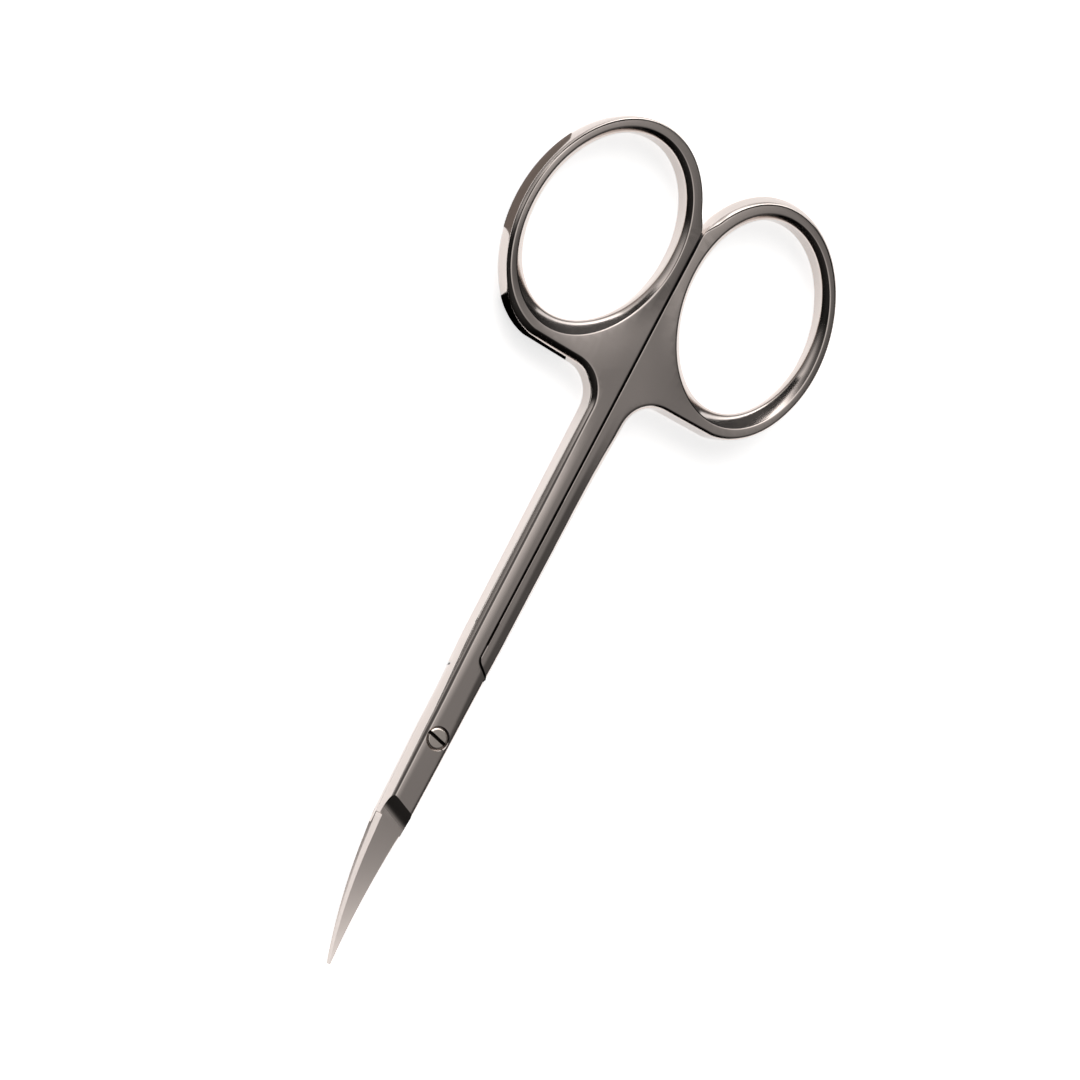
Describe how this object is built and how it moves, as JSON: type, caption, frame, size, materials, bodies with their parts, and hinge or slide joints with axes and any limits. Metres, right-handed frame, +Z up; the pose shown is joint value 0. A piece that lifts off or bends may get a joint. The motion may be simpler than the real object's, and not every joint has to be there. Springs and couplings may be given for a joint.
{
  "type": "cuticle scissors",
  "caption": "Slim cuticle scissors with oval finger rings, a lapped screw joint and short upward-curved blades; the halves open on the pivot screw.",
  "frame": {"origin": "on the pivot axis, at the flat back face that the closed scissors rest on", "axes": "+X towards the blade tips, +Y towards the finger ring of the back half, +Z up through the head of the screw"},
  "size_m": [0.105, 0.0428, 0.0064],
  "materials": {
    "halves": "polished dark-toned stainless steel, ground satin on the blades",
    "screw": "turned stainless steel"
  },
  "bodies": {
    "back": {"back_half": "halves", "pivot_screw": "screw"},
    "front": {"front_half": "halves"}
  },
  "joints": [
    {"name": "opening", "type": "hinge", "parent": "back", "child": "front", "pos_m": [0, 0, 0], "axis": [0, 0, 1], "range_deg": [0, 70]}
  ]
}
